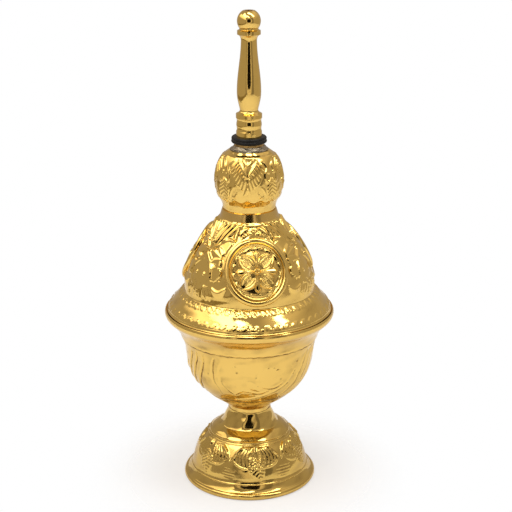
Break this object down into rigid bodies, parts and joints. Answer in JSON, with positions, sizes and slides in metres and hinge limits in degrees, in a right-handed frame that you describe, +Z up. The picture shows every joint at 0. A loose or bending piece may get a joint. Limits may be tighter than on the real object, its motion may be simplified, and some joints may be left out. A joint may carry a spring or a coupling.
{
  "type": "holy water sprinkler",
  "caption": "Gilt brass holy water sprinkler: chased bowl and dome on a bell foot, knop above, hollow baluster spout with a bored ball tip that unscrews for filling",
  "frame": {"origin": "middle of the foot on the surface it stands on", "axes": "+Z up along the object's axis, -Y towards the first medallion, +X to its right as seen from -Y"},
  "size_m": [0.0884, 0.0884, 0.25],
  "materials": {
    "gilt_foot": "polished gilt brass with chased ornament",
    "gilt_bowl": "polished gilt brass with chased ornament",
    "gilt_dome": "polished gilt brass with chased ornament",
    "gilt_medallion": "struck and polished gilt brass",
    "gilt_neck": "polished gilt brass with chased ornament",
    "plain_collar": "plain brass, satin",
    "solder": "dull grey soft solder",
    "bush_brass": "turned brass, dulled",
    "gasket_rubber": "moulded black rubber",
    "spout_brass": "turned and polished gilt brass",
    "edge_wire": "drawn brass wire",
    "fastener_steel": "zinc plated steel"
  },
  "bodies": {
    "vessel": {"foot_shell": "gilt_foot", "foot_edge_wire": "edge_wire", "bowl_shell": "gilt_bowl", "stem_stud": "fastener_steel", "stem_washer": "fastener_steel", "stem_nut": "fastener_steel", "dome_shell": "gilt_dome", "medallion_front": "gilt_medallion", "medallion_rear_left": "gilt_medallion", "medallion_rear_right": "gilt_medallion", "neck_collar": "plain_collar", "neck_bulb": "gilt_neck", "neck_solder": "solder", "neck_bush": "bush_brass"},
    "washer": {"gasket": "gasket_rubber"},
    "spout": {"spout": "spout_brass"}
  },
  "joints": [
    {"name": "thread_lift", "type": "slide", "parent": "vessel", "child": "washer", "axis": [0, 0, 1], "range_m": [0, 0.0075]},
    {"name": "spout_unscrew", "type": "hinge", "parent": "washer", "child": "spout", "pos_m": [0, 0, 0.1871], "axis": [0, 0, 1], "range_deg": [0, 1800]}
  ],
  "couplings": [
    {"joint": "spout_unscrew", "follows": "thread_lift", "rad_per_m": 4188.8}
  ]
}
